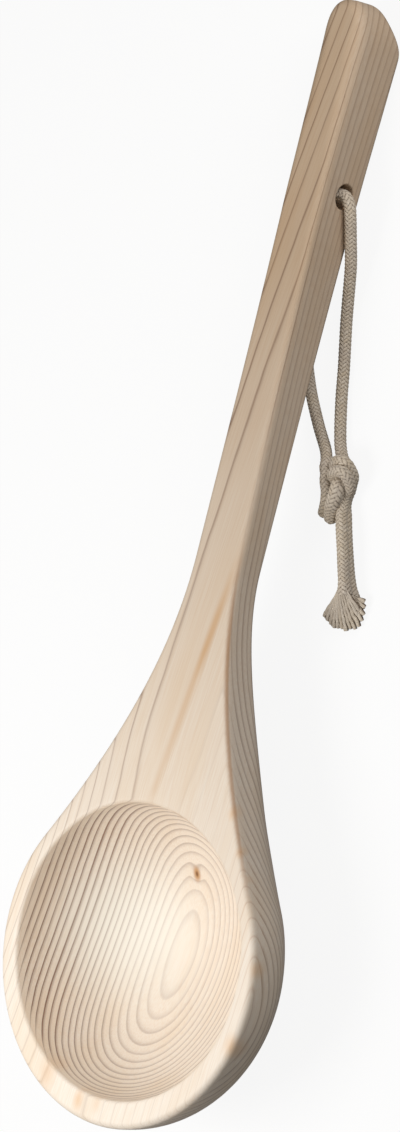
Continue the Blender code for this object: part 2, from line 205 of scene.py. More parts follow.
leftStrand = [
    (0.0000, 0.0006, 0.0147), (-0.0045, 0.0006, 0.0147), (-0.0084, 0.0003, 0.0146),
    (-0.0109, -0.0026, 0.0142), (-0.0126, -0.0090, 0.0122), (-0.0138, -0.0190, 0.0082),
    (-0.0137, -0.0300, 0.0046), (-0.0118, -0.0410, 0.0030), (-0.0082, -0.0520, 0.0025),
    (-0.0041, -0.0623, 0.0025), (-0.0003, -0.0706, 0.0025), (0.0052, -0.0798, 0.0026),
    (0.0085, -0.0844, 0.0028),
]
# In the knot each half runs down in front, the left one beside the right one, and turns back under itself
# at the foot. It comes up between the two, goes over the right one and down on its right side, and leaves
# under it as a tail.
rightKnot = [
    (0.0172, -0.0854, 0.0028), (0.0194, -0.0886, 0.0037), (0.0218, -0.0913, 0.0047),
    (0.0235, -0.0946, 0.0064), (0.0246, -0.0980, 0.0080), (0.0246, -0.1013, 0.0086),
    (0.0233, -0.1051, 0.0079), (0.0209, -0.1084, 0.0062), (0.0189, -0.1108, 0.0040),
    (0.0183, -0.1090, 0.0025), (0.0189, -0.1053, 0.0022), (0.0185, -0.1018, 0.0026),
    (0.0183, -0.0994, 0.0036), (0.0196, -0.0968, 0.0060), (0.0223, -0.0943, 0.0086),
    (0.0254, -0.0928, 0.0102), (0.0275, -0.0936, 0.0094), (0.0280, -0.0963, 0.0074),
    (0.0271, -0.0987, 0.0062), (0.0251, -0.1011, 0.0046), (0.0246, -0.1035, 0.0042),
    (0.0249, -0.1060, 0.0046), (0.0257, -0.1083, 0.0054), (0.0266, -0.1103, 0.0060),
]
leftKnot = [
    (0.0115, -0.0879, 0.0034), (0.0137, -0.0905, 0.0048), (0.0158, -0.0933, 0.0062),
    (0.0172, -0.0966, 0.0068), (0.0180, -0.1000, 0.0068), (0.0185, -0.1035, 0.0066),
    (0.0182, -0.1071, 0.0058), (0.0176, -0.1100, 0.0040), (0.0167, -0.1088, 0.0024),
    (0.0157, -0.1049, 0.0022), (0.0149, -0.1008, 0.0022), (0.0150, -0.0970, 0.0026),
    (0.0168, -0.0939, 0.0040), (0.0196, -0.0913, 0.0066), (0.0234, -0.0894, 0.0086),
    (0.0258, -0.0902, 0.0080), (0.0268, -0.0931, 0.0060), (0.0260, -0.0961, 0.0039),
    (0.0251, -0.0994, 0.0027), (0.0244, -0.1028, 0.0022), (0.0244, -0.1058, 0.0022),
    (0.0250, -0.1085, 0.0022),
]
nearTail = [
    (0.0284, -0.1146, 0.0066), (0.0300, -0.1192, 0.0067), (0.0314, -0.1239, 0.0067),
    (0.0327, -0.1286, 0.0065), (0.0337, -0.1326, 0.0060), (0.0341, -0.1347, 0.0056),
]
farTail = [
    (0.0268, -0.1147, 0.0023), (0.0283, -0.1194, 0.0023), (0.0299, -0.1241, 0.0023),
    (0.0313, -0.1280, 0.0023), (0.0331, -0.1319, 0.0024), (0.0350, -0.1351, 0.0026),
    (0.0363, -0.1376, 0.0026),
]
# How the knot is drawn tight: only the stretch from the foot to the top moves. Points that are less than
# some diameters apart along the cord are neighbours and don't push each other. Every step pushes, smooths
# and pulls back toward the drawn route, each by a share.
tighten = dict(foot=-0.122, top=-0.084, steps=120, squeeze=0.85, apart=1.9, push=0.4, smooth=0.16,
               pullBack=0.05)


# The cord is thicker where the front of the knot presses it flat: a bell curve along it
def thickness(along, swell):
    return 1 + swell * np.exp(-((along - cord["swellAt"]) / cord["swellOver"])**2)


# Toward its bare end the braid opens: wider by a smooth step over the last stretch
def opening(along, length):
    return 1 + cord["opens"] * smoothStep((along - length + cord["opensOver"]) / cord["opensOver"])


# Pushes the two halves apart wherever they lie in each other, so that the knot is tight but nothing
# passes through. A point moves by the mean of the pushes from all points that are too near it.
def tightenKnot(first, second):
    start = np.vstack([first, second])
    split = len(first)
    place = np.arange(len(start))
    spacing = np.linalg.norm(np.diff(first, axis=0), axis=1).mean()
    neighbours = np.abs(place[:, None] - place[None, :]) * spacing < tighten["apart"] * cord["diameter"]
    neighbours &= (place[:, None] < split) == (place[None, :] < split)
    held = ((start[:, 1] <= tighten["foot"]) | (start[:, 1] >= tighten["top"]))[:, None]
    thick = np.concatenate([thickness(np.arange(split) * spacing, cord["swell"]), np.ones(len(second))])
    wanted = cord["diameter"] / 2 * (thick[:, None] + thick[None, :]) * tighten["squeeze"]
    points = start.copy()
    for step in range(tighten["steps"]):
        apart = points[:, None] - points[None]
        distance = np.linalg.norm(apart, axis=2) + 1e-9
        push = np.where(neighbours, 0, np.clip(wanted - distance, 0, None))
        away = (apart / distance[..., None] * push[..., None]).sum(1)
        away /= np.maximum((push > 0).sum(1), 1)[:, None]
        points = points + np.where(held, 0, tighten["push"] * away)
        smooth = points.copy()
        smooth[1:-1] += tighten["smooth"] * (points[:-2] + points[2:] - 2 * points[1:-1])
        points = np.where(held, start, smooth + tighten["pullBack"] * (start - smooth))
        points[:, 2] = np.maximum(points[:, 2], cord["diameter"] / 2)
    return points[:split], points[split:]


# Heights of a round braid on a tube: two sets of yarns cross it at slants that mirror each other. A
# yarn's own height is a rounded ridge across its width. Each yarn lies over two yarns of the other set
# and under the next two, by a cosine along it, so that the eye sees columns of slanted stitches that make
# chevrons.
def braid(along, angle):
    turns = cord["carriers"] * angle / math.tau
    a = turns + along / cord["yarnPitch"]
    b = turns - along / cord["yarnPitch"]
    acrossA = a - np.floor(a) - 0.5
    acrossB = b - np.floor(b) - 0.5
    waveA = np.cos(math.pi / 2 * (np.floor(a) + b - 1))
    waveB = np.cos(math.pi / 2 * (a + np.floor(b) - 3))
    heightA, heightB = [cord["yarnRound"] * np.sqrt(np.clip(1 - (2.0 * across)**2, 0, 1))
                        + cord["yarnWave"] * wave for across, wave in ((acrossA, waveA), (acrossB, waveB))]
    upper = heightA > heightB
    numberB = cord["carriers"] + np.floor(b) % cord["carriers"]
    number = np.where(upper, np.floor(a) % cord["carriers"], numberB)
    return np.maximum(heightA, heightB), np.where(upper, acrossA, acrossB), number.astype(int)


# The angle of every point on a tube
def aroundTube(rings, sides):
    return np.tile(np.linspace(0, math.tau, sides, endpoint=False), (rings, 1))


# A tube along a line: radius times the cosine and sine of the angle on the side and upper vectors, plus
# the line. Cotton that lies on the table is pressed flat by it.
def tubePoints(line, radius, angle):
    side, upper = framesAlong(line)
    outward = side[:, None] * np.cos(angle)[..., None] + upper[:, None] * np.sin(angle)[..., None]
    points = line[:, None] + outward * radius[..., None]
    points[..., 2] = np.maximum(points[..., 2], cord["tableGap"])
    return points


# One mesh of tubes, each a grid of rings whose ends close on a middle point with its own attribute value
def tubeMesh(name, tubes, attributes, endValue):
    rings, sides = tubes[0].shape[:2]
    around = np.arange(sides)
    after = (around + 1) % sides
    faces = []
    ends = []
    for number, tube in enumerate(tubes):
        first = number * rings * sides
        last = first + (rings - 1) * sides
        middle = len(tubes) * rings * sides + 2 * number
        ends += [tube[0].mean(0), tube[-1].mean(0)]
        faces += gridFaces(rings, sides, first).tolist()
        faces += np.stack([first + after, first + around, np.full(sides, middle)], 1).tolist()
        faces += np.stack([last + around, last + after, np.full(sides, middle + 1)], 1).tolist()
    mesh = bpy.data.meshes.new(name)
    mesh.from_pydata(np.vstack([tube.reshape(-1, 3) for tube in tubes] + [ends]).tolist(), [], faces)
    for key, values in attributes.items():
        full = np.concatenate([np.ravel(values), np.full(len(ends), endValue)]).astype(np.float32)
        mesh.attributes.new(key, "FLOAT", "POINT").data.foreach_set("value", full)
    mesh.shade_smooth()
    return mesh


# One half of the cord: the braid on a tube along its line. Each yarn has its own tint, and each stitch
# adds a little.
def makeCord(name, line, swell, seed, material):
    length = routeLength(line)
    rings = int(length * cord["ringsPerMetre"])
    line = smoothRoute(line, rings)
    along = np.linspace(0, length, rings)[:, None]
    angle = aroundTube(rings, cord["sides"])
    top, across, number = braid(along, angle)
    rng = np.random.default_rng(seed)
    tint = rng.uniform(*cord["yarnTints"], 2 * cord["carriers"])[number]
    stepAlong, stepAround = cord["stitchSteps"]
    stitch = (stepAlong * np.floor(along / cord["yarnPitch"] * 2) + stepAround * number).astype(int)
    tint = tint + cord["stitchTint"] * rng.normal(0, 1, cord["stitchKinds"])[stitch % cord["stitchKinds"]]
    radius = cord["diameter"] / 2 + cord["braidHeight"] * (top - cord["braidMiddle"])
    radius *= thickness(along, swell) * opening(along, length)
    # The braid's height also goes to the cotton as the mask of its painted shade in the gaps
    mesh = tubeMesh(name, [tubePoints(line, radius, angle)],
                    dict(gapShadeMask=np.clip(top, 0, 1.2), yarnTint=np.clip(tint, 0, 1), yarnAcross=across), 0.0)
    return newObject(name, mesh, material), line


# Yarns that the braid comes undone into: slender twisted tubes that start on the tail's end, the first
# share of them on its upper side, spread like a fan, drop to the table and swell toward their tips.
# Lengths are in metres.
fray = dict(yarnWidth=0.00130, rings=70, sides=14, twistPitch=0.0075, startsBeside=0.0024,
            startsOver=0.0015, startsBack=0.0022, upperShare=0.6, halfFan=0.0045, tipMean=-0.0002,
            tipSpread=0.0004, leaves=0.9, leavesSideways=0.5, arrives=0.9, drops=0.0012, bends=0.0005,
            clearance=0.0001, thin=0.72, swells=0.62, swellsTo=0.8, narrows=0.15, narrowsOver=0.1,
            plyDepth=0.16, shadeBelow=0.12, shadeUp=0.75, shadePly=0.18, tints=(0.2, 1.0))
nearTips = [
    (0.0240, -0.1448, 0.0022), (0.0253, -0.1461, 0.0018), (0.0269, -0.1471, 0.0015),
    (0.0286, -0.1478, 0.0013), (0.0304, -0.1481, 0.0011), (0.0323, -0.1481, 0.0010),
    (0.0341, -0.1476, 0.0010), (0.0357, -0.1467, 0.0010), (0.0370, -0.1455, 0.0011),
    (0.0382, -0.1438, 0.0016), (0.0391, -0.1415, 0.0022), (0.0395, -0.1393, 0.0028),
    (0.0237, -0.1454, 0.0009), (0.0254, -0.1466, 0.0008), (0.0273, -0.1473, 0.0008),
    (0.0294, -0.1477, 0.0008), (0.0314, -0.1477, 0.0008), (0.0333, -0.1475, 0.0008),
    (0.0350, -0.1468, 0.0008), (0.0363, -0.1456, 0.0008),
]
farTips = [
    (0.0409, -0.1359, 0.0024), (0.0412, -0.1380, 0.0020), (0.0410, -0.1403, 0.0017),
    (0.0404, -0.1426, 0.0014), (0.0394, -0.1448, 0.0012), (0.0380, -0.1467, 0.0010),
    (0.0398, -0.1372, 0.0010), (0.0400, -0.1394, 0.0010), (0.0394, -0.1418, 0.0008),
    (0.0384, -0.1440, 0.0008),
]


# Each yarn is a tube along a cubic from the tail's end to its tip; its section is an ellipse that turns
# along it
def makeFray(name, line, tips, seed, material):
    rng = np.random.default_rng(seed)
    end = line[-1]
    heading = line[-1] - line[-6]
    heading /= np.linalg.norm(heading)
    side = np.cross(heading, (0.0, 0.0, 1.0))
    side /= np.linalg.norm(side)
    upper = np.cross(side, heading)
    t = np.linspace(0, 1, fray["rings"])[:, None]
    angle = aroundTube(fray["rings"], fray["sides"])
    thin = fray["thin"] + fray["swells"] * smoothStep(t / fray["swellsTo"])
    thin = thin * (1 - fray["narrows"] * smoothStep((t - 1) / fray["narrowsOver"] + 1))
    tubes = []
    looks = dict(gapShadeMask=[], yarnTint=[], yarnAcross=[])
    for i, tip in enumerate(tips):
        tip = np.array(tip) + (0, holeAxis[1], 0) + heading * rng.normal(fray["tipMean"], fray["tipSpread"])
        fan = (tip - end).dot(side)
        turn = math.atan2(1.0 if i < len(tips) * fray["upperShare"] else -1.0, fan / fray["halfFan"])
        start = (end - heading * fray["startsBack"] + fray["startsBeside"] * math.cos(turn) * side
                 + fray["startsOver"] * math.sin(turn) * upper)
        span = np.linalg.norm(tip - start)
        leave = heading * span * fray["leaves"] + side * fan * fray["leavesSideways"]
        arrive = (tip - start) * fray["arrives"] - (0, 0, fray["drops"]) + side * rng.normal(0, fray["bends"])
        route = hermite(t, start, leave, tip, arrive)
        route[:, 2] = np.maximum(route[:, 2], fray["yarnWidth"] / 2 + fray["clearance"])
        twist = rng.uniform(0, math.tau) + math.tau * t * routeLength(route) / fray["twistPitch"]
        ply = np.abs(np.cos(angle - twist))
        radius = fray["yarnWidth"] / 2 * thin * (1 - fray["plyDepth"] * (1 - ply))
        tubes.append(tubePoints(route, radius, angle))
        # Painted shade: darker on the yarn's sides, underside and between its plies
        shade = fray["shadeBelow"] + fray["shadeUp"] * np.abs(np.sin(angle)) + fray["shadePly"] * ply
        looks["gapShadeMask"].append(shade)
        looks["yarnTint"].append(np.full(angle.shape, rng.uniform(*fray["tints"])))
        looks["yarnAcross"].append(ply - 0.5)
    return newObject(name, tubeMesh(name, tubes, looks, 1.0), material)


# Undyed cotton: matt, slightly hairy yarns of pale warm grey; the eye sees light ridges, painted shade in the
# gaps between the yarns and small changes of tint from yarn to yarn. Patches are about 11 mm wide and fibres
# 0.4 mm, coarser than real ones so that they show; a yarn shows about 4 plies across its width.
cotton = dict(pale="E8DDCD", warm="D9CAB4", cool="CFC4B8", paintedGapShade="66503E", patchesPerMetre=90.0,
              fibresPerMetre=2600.0, patchy=((0.42, 0), (0.66, 0.6)), gapTo=0.22, ridgeFrom=0.85,
              speckle=(0.76, 1.12), plies=25.0, plyHeight=0.3, fibre=0.00006, bump=0.8, roughness=0.92,
              specular=0.15, sheen=0.15, sheenRoughness=0.5)


def makeCotton():
    material, shader, add = newMaterial("braided_cotton")
    top, tint, across = [add("Attribute", output="Fac", attribute_name=name)
                         for name in ("gapShadeMask", "yarnTint", "yarnAcross")]
    place = add("TexCoord", output="Object")
    patch = add("TexNoise", {"Vector": place, "Scale": cotton["patchesPerMetre"], "Detail": 3.0})
    fibres = add("TexNoise", {"Vector": place, "Scale": cotton["fibresPerMetre"], "Detail": 4.0,
                              "Roughness": 0.6})
    patchy = add("ValToRGB", {"Fac": patch}, stops=cotton["patchy"])
    # Painted shade: low parts of the braid and the yarns' shaded sides take the dark gap colour
    depth = add("MapRange", {"Value": top, "From Min": cotton["gapTo"],
                             "From Max": cotton["ridgeFrom"]}, interpolation_type="SMOOTHSTEP")
    colour = hexColour(cotton["warm"])
    for share, other in ((tint, hexColour(cotton["pale"])), (patchy, hexColour(cotton["cool"]))):
        colour = add("Mix", {"Factor": share, 6: colour, 7: other}, data_type="RGBA")
    colour = add("Mix", {"Factor": depth, 6: hexColour(cotton["paintedGapShade"]), 7: colour}, data_type="RGBA")
    darkest, lightest = cotton["speckle"]
    speckle = add("MapRange", {"Value": fibres, "From Min": 0.3, "From Max": 0.7, "To Min": darkest,
                               "To Max": lightest})
    colour = add("VectorMath", {0: colour, "Scale": speckle}, operation="SCALE")
    plies = add("Math", {0: across, 1: cotton["plies"]}, operation="MULTIPLY")
    plies = add("Math", {0: plies}, operation="SINE")
    height = add("Math", {0: plies, 1: cotton["plyHeight"], 2: fibres}, operation="MULTIPLY_ADD")
    normal = add("Bump", {"Height": height, "Distance": cotton["fibre"],
                          "Strength": cotton["bump"]})
    setInputs(shader, {"Base Color": colour, "Normal": normal, "Roughness": cotton["roughness"],
                       "Specular IOR Level": cotton["specular"], "Sheen Weight": cotton["sheen"],
                       "Sheen Roughness": cotton["sheenRoughness"]})
    return material


def makeCords():
    material = makeCotton()
    shift = np.array((0, holeAxis[1], 0))
    first = smoothRoute(rightStrand + rightKnot + nearTail, cord["points"])
    second = smoothRoute(leftStrand + leftKnot + farTail, cord["points"])
    first, second = tightenKnot(first, second)
    right, rightLine = makeCord("cord_right_half", first + shift, cord["swell"], 3, material)
    left, leftLine = makeCord("cord_left_half", second + shift, 0.0, 5, material)
    nearFray = makeFray("yarns_near", rightLine, nearTips, 7, material)
    farFray = makeFray("yarns_far", leftLine, farTips, 11, material)
    print("cord lengths", round(routeLength(rightLine), 4), round(routeLength(leftLine), 4))
    for piece, nodes in ((right, ("cord_right_strand", "cord_knot", "cord_tail_near")),
                         (left, ("cord_left_strand", "cord_tail_far")), (nearFray, ("frayed_end_near",)),
                         (farFray, ("frayed_end_far",))):
        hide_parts(*nodes)
        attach(piece, "hanging_loop")


makeCords()
print("cords done")


# Carved body. Its own frame starts in the middle of the bowl's mouth, and the flat top face is at zero.
ladle = dict(
    mouthRadius=0.052, insideDepth=0.0385, bottomThickness=0.0082, rimSide=0.0072, rimFront=0.0100,
    outsideShift=0.0020, uprightWall=0.0052, mouthRound=0.0014, neckLeavesAt=math.radians(31.5),
    keelLeavesAt=math.radians(15.0), neckLength=0.1105, handleLength=0.1997, neckWidth=0.0217,
    waistWidth=0.0172, waistFromEnd=0.065, endWidth=0.0190, neckThickness=0.0136, endThickness=0.0262,
    edgeRoundBowl=0.0025, edgeRoundEnd=0.0060, edgeSoftens=0.0750, underCorner=0.0030,
    endPlanRound=0.0160, endSquareness=2.35, endUndercut=0.0220, endLip=0.0110, endFan=0.0480,
    endEdgeTightens=0.4, holeDiameter=0.0090, holeDown=0.58, holeFromEnd=0.0669, holeFlare=0.0006)
# How finely it is divided. The mouth's edge faces the outline up to 78 degrees toward the neck.
finely = dict(oval=150, neck=90, handle=60, end=30, top=8, edge=8, under=34, lip=6, wall=64, holeSides=64,
              flare=6, mouthFaces=78, cutterPast=0.004, mergeWithin=2e-6, shortestEdge=1e-7,
              sharpFrom=math.radians(40))

halfWidth = ladle["mouthRadius"] + ladle["rimSide"]
halfLength = ladle["mouthRadius"] + ladle["rimFront"] - ladle["outsideShift"]
ovalY = -ladle["outsideShift"]
outsideDepth = ladle["insideDepth"] + ladle["bottomThickness"]
neckStart = ovalY + halfLength * math.sin(ladle["neckLeavesAt"])
keelStart = ovalY + halfLength * math.sin(ladle["keelLeavesAt"])
neckEnd = neckStart + ladle["neckLength"]
ladleEnd = neckEnd + ladle["handleLength"]
waist = ladleEnd - ladle["waistFromEnd"]
holeY = ladleEnd - ladle["holeFromEnd"]
handleStartSlope = 1.5 * (ladle["waistWidth"] - ladle["neckWidth"]) / 2 / (waist - neckEnd)


# The neck's concave curve: a cubic from the oval's width and slope to those of the handle's start
def neckHalfWidth(y):
    value = halfWidth * math.cos(ladle["neckLeavesAt"])
    slope = -halfWidth * math.tan(ladle["neckLeavesAt"]) / halfLength
    t = (y - neckStart) / ladle["neckLength"]
    return hermite(t, value, slope * ladle["neckLength"], ladle["neckWidth"] / 2,
                   handleStartSlope * ladle["neckLength"])


# The handle narrows by a cubic to a waist just before the hole and widens by a smooth step to its end
def handleHalfWidth(y):
    span = waist - neckEnd
    toWaist = hermite(np.clip((y - neckEnd) / span, 0, 1), ladle["neckWidth"] / 2, handleStartSlope * span,
                      ladle["waistWidth"] / 2, 0.0)
    toEnd = ladle["waistWidth"] / 2 + (ladle["endWidth"] - ladle["waistWidth"]) / 2 * smoothStep(
        (y - waist) / ladle["waistFromEnd"])
    return np.where(y < waist, toWaist, toEnd)


# Depth of the underside's centre line under the top face: an oval, a cubic under the neck, a straight
# taper
def keelDepth(y):
    oval = outsideDepth * np.sqrt(np.clip(1 - ((y - ovalY) / halfLength)**2, 0, 1))
    value = outsideDepth * math.cos(ladle["keelLeavesAt"])
    slope = -outsideDepth * math.tan(ladle["keelLeavesAt"]) / halfLength
    span = neckEnd - keelStart
    taper = (ladle["endThickness"] - ladle["neckThickness"]) / ladle["handleLength"]
    t = np.clip((y - keelStart) / span, 0, 1)
    neck = hermite(t, value, slope * span, ladle["neckThickness"], taper * span)
    handle = ladle["neckThickness"] + taper * (y - neckEnd)
    return np.where(y < keelStart, oval, np.where(y < neckEnd, neck, handle))


# The top view's right half, from the bowl's front to the handle's end, as x and y; the end is a squarish
# oval
def rightOutline():
    angle = np.linspace(-math.pi / 2, ladle["neckLeavesAt"], finely["oval"] + 1)
    oval = np.stack([halfWidth * np.cos(angle), ovalY + halfLength * np.sin(angle)], 1)
    y = np.linspace(neckStart, neckEnd, finely["neck"] + 1)[1:]
    neck = np.stack([neckHalfWidth(y), y], 1)
    y = np.linspace(neckEnd, ladleEnd - ladle["endPlanRound"], finely["handle"] + 1)[1:]
    handle = np.stack([handleHalfWidth(y), y], 1)
    angle = np.linspace(0, math.pi / 2, finely["end"] + 1)[1:]
    y = ladleEnd - ladle["endPlanRound"] * (1 - np.sin(angle)**(2 / ladle["endSquareness"]))
    end = np.stack([handleHalfWidth(y) * np.clip(np.cos(angle), 0, 1)**(2 / ladle["endSquareness"]), y], 1)
    outline = np.concatenate([oval, neck, handle, end])
    outline[[0, -1], 0] = 0.0
    return outline


# Where the top face starts on its inside: the mouth's edge, then the centre line up to the handle's end
def innerEdge(outline):
    polar = np.arctan2(outline[:, 1], np.abs(outline[:, 0]))
    angle = np.minimum(np.where(polar < 0, polar, polar * 90 / finely["mouthFaces"]), math.pi / 2)
    onMouth = angle < math.pi / 2 - 1e-9
    radius = ladle["mouthRadius"] + ladle["mouthRound"]
    leaves = outline[~onMouth, 1].min()
    last = ladleEnd - ladle["edgeRoundEnd"]
    y = radius + (outline[:, 1] - leaves) * (last - radius) / (ladleEnd - leaves)
    x = np.where(onMouth, np.abs(radius * np.cos(angle)), 0) * np.where(outline[:, 0] < 0, -1, 1)
    return np.stack([x, np.where(outline[:, 1] > leaves, y, radius * np.sin(angle))], 1), onMouth


# Rows round the carved body. Each point of the outline has its own rib: the top face from its inner edge,
# the rounded top edge (a quarter circle), an upright stretch, a quarter oval and the run to the
# underside's centre line.
def bodyRows():
    right = rightOutline()
    outline = np.concatenate([right, right[-2:0:-1] * (-1, 1)])
    ahead = np.roll(outline, -1, 0) - np.roll(outline, 1, 0)
    normal = np.stack([ahead[:, 1], -ahead[:, 0]], 1)
    normal /= np.linalg.norm(normal, axis=1, keepdims=True)
    y = outline[:, 1]
    past = np.clip(y - ovalY, 0, None)
    slant = np.clip((y - (ladleEnd - ladle["endFan"])) / ladle["endFan"], 0, 1)
    keelY = ovalY + past * smoothStep(past / halfLength) - ladle["endUndercut"] * slant**2
    keel = np.stack([0 * y, keelY], 1)
    depth = keelDepth(keelY)
    reach = np.linalg.norm(outline - keel, axis=1)
    inward = (keel - outline) / reach[:, None]
    handleLike = smoothStep((y - neckStart) / ladle["neckLength"])
    endLike = smoothStep((y - (ladleEnd - ladle["endPlanRound"])) / ladle["endPlanRound"])
    corner = reach * (1 - handleLike) + ladle["underCorner"] * handleLike
    upright = ladle["uprightWall"] * (1 - handleLike) + (depth - ladle["underCorner"]) * handleLike
    corner = np.minimum(corner * (1 - endLike) + reach * endLike, reach)
    upright = upright * (1 - endLike) + ladle["endLip"] * endLike
    edgeRound = ladle["edgeRoundBowl"] + (ladle["edgeRoundEnd"] - ladle["edgeRoundBowl"]) * smoothStep(
        (y - (ladleEnd - ladle["edgeSoftens"])) / ladle["edgeSoftens"])
    edgeRound *= 1 - ladle["endEdgeTightens"] * endLike
    side = np.where(np.arange(len(outline)) < len(right), 1, -1)

    # No point crosses the middle to the other side
    def row(xy, z):
        x = np.where(xy[:, 0] * side < 0, 0, xy[:, 0])
        return np.column_stack([x, xy[:, 1], np.broadcast_to(z, y.shape)])

    inner, onMouth = innerEdge(outline)
    outer = row(outline - normal * edgeRound[:, None], 0.0)[:, :2]
    rows = [row(inner + (outer - inner) * step / finely["top"], 0.0) for step in range(finely["top"])]
    for turn in np.linspace(0, math.pi / 2, finely["edge"] + 1):
        rows.append(row(outline - normal * (edgeRound * (1 - math.sin(turn)))[:, None],
                        -edgeRound * (1 - math.cos(turn))))
    for turn in np.linspace(0, math.pi / 2, finely["under"] + 1):
        rows.append(row(outline + inward * (corner * (1 - math.cos(turn)))[:, None],
                        -upright - (depth - upright) * math.sin(turn)))
    rows.append(np.column_stack([keel, -depth]))
    return np.stack(rows), inner[onMouth | (inner[:, 1] <= ladle["mouthRadius"] + ladle["mouthRound"] + 1e-9)]


# The hollow: a lip of a quarter circle and then a quarter oval, turned round the mouth's axis
def bowlRows(mouth):
    direction = mouth / np.linalg.norm(mouth, axis=1, keepdims=True)
    turn = np.linspace(0, math.pi / 2, finely["lip"], endpoint=False)
    lip = np.stack([ladle["mouthRadius"] + ladle["mouthRound"] * (1 - np.sin(turn)),
                    -ladle["mouthRound"] * (1 - np.cos(turn))], 1)
    turn = np.linspace(0, math.pi / 2, finely["wall"] + 1)
    wall = np.stack([ladle["mouthRadius"] * np.cos(turn),
                     -ladle["mouthRound"] - (ladle["insideDepth"] - ladle["mouthRound"]) * np.sin(turn)], 1)
    profile = np.concatenate([lip, wall])
    profile[-1, 0] = 0.0
    flat = direction[None] * profile[:, None, :1]
    return np.dstack([flat, np.broadcast_to(profile[:, None, 1], flat.shape[:2])])


# The turn and shift from the body's own frame to how it lies on the table: tilted about x as the top face
# is, with the hole's middle on its axis
def laidDown():
    tilt = math.atan2(topFace["axis"][1], topFace["axis"][2])
    turn = Matrix.Rotation(-tilt, 4, "X")
    hole = Vector((0, holeY, -float(keelDepth(np.array(holeY))) * ladle["holeDown"]))
    return Matrix.Translation(Vector(holeAxis) - turn @ hole) @ turn


# A closed mesh with its doubles merged and its faces pointing outwards
def closedMesh(name, points, faces):
    mesh = bpy.data.meshes.new(name)
    mesh.from_pydata(points.tolist(), [], faces.tolist())
    bm = bmesh.new()
    bm.from_mesh(mesh)
    bmesh.ops.remove_doubles(bm, verts=bm.verts, dist=finely["mergeWithin"])
    bmesh.ops.dissolve_degenerate(bm, edges=bm.edges, dist=finely["shortestEdge"])
    bmesh.ops.recalc_face_normals(bm, faces=bm.faces)
    bm.to_mesh(mesh)
    bm.free()
    return mesh


# A side-to-side plug with flared ends, which leaves the hole and its softened edge
def holeCutter():
    width = float(handleHalfWidth(np.array(holeY)))
    radius, flare = ladle["holeDiameter"] / 2, ladle["holeFlare"]
    turn = np.linspace(0, math.pi / 2, finely["flare"])
    half = [(width - flare + flare * math.sin(a), radius + flare * (1 - math.cos(a))) for a in turn]
    half.append((width + finely["cutterPast"], radius + flare))
    profile = np.array([(-x, r) for x, r in half[::-1]] + half)
    profile = np.vstack([(profile[0, 0], 0), profile, (profile[-1, 0], 0)])
    angle = np.linspace(0, math.tau, finely["holeSides"], endpoint=False)
    points = np.stack([np.broadcast_to(profile[:, :1], (len(profile), len(angle))),
                       profile[:, 1:] * np.cos(angle), profile[:, 1:] * np.sin(angle)], -1)
    return closedMesh("hole_cutter", points.reshape(-1, 3) + holeAxis, gridFaces(len(profile), len(angle)))


# The tree's pith runs below the ladle: x and z of the line that the growth rings go round, in
# millimetres, as cubics of the distance along the ladle in decimetres, one for the bowl and one for the
# handle, blended at the neck
pith = dict(bowl=((-7.03, 11.8, 0.487, 0.0), (-46.25, -3.3, 0.301, 0.0)),
            handle=((-9.14, 11.54, -0.025, 0.124), (-46.54, -0.25, 0.446, -0.142)),
            blendFrom=25.0, blendTo=80.0)


# The sum of each number times its power of y, blended from the bowl's to the handle's by a smooth step
def pithLine(y):
    along = np.stack([(y / 100)**power for power in range(4)])
    bowl = np.array(pith["bowl"]) @ along
    handle = np.array(pith["handle"]) @ along
    share = smoothStep((y - pith["blendFrom"]) / (pith["blendTo"] - pith["blendFrom"]))
    return bowl + (handle - bowl) * share


# The body with its hole cut. Each point keeps two places for the wood: from the pith, and in its own frame.
def makeLadle():
    rows, mouth = bodyRows()
    bowl = bowlRows(mouth)
    place = laidDown()
    turn, shift = np.array(place.to_3x3()), np.array(place.translation)
    points = np.concatenate([rows.reshape(-1, 3), bowl.reshape(-1, 3)]) @ turn.T + shift
    faces = np.concatenate([gridFaces(*rows.shape[:2]), gridFaces(*bowl.shape[:2], rows[..., 0].size)])
    material = makeWood()
    body = newObject("carved_body", closedMesh("carved_body", np.clip(points, *cadBox), faces), material)
    cutter = newObject("hole_cutter", holeCutter(), material)
    boolean = body.modifiers.new("hole", "BOOLEAN")
    boolean.operation = "DIFFERENCE"
    boolean.solver = "EXACT"
    boolean.object = cutter
    cut = bpy.data.meshes.new_from_object(body.evaluated_get(bpy.context.evaluated_depsgraph_get()))
    body.modifiers.clear()
    body.data = cut
    cut.name = "carved_body"
    bpy.data.objects.remove(cutter)
    cut.shade_smooth()
    cut.set_sharp_from_angle(angle=finely["sharpFrom"])
    flat = np.empty(len(cut.vertices) * 3)
    cut.vertices.foreach_get("co", flat)
    own = (flat.reshape(-1, 3) - shift) @ turn * 1000
    axisX, axisZ = pithLine(own[:, 1])
    grain = own - np.column_stack([axisX, 0 * axisX, axisZ])
    for key, values in dict(grain=grain, ownPlace=own).items():
        attribute = cut.attributes.new(key, "FLOAT_VECTOR", "POINT")
        attribute.data.foreach_set("vector", values.astype(np.float32).ravel())
    print("carved body", len(cut.vertices), "points", len(cut.polygons), "faces")
    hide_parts("ladle_body")
    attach(body, "ladle")


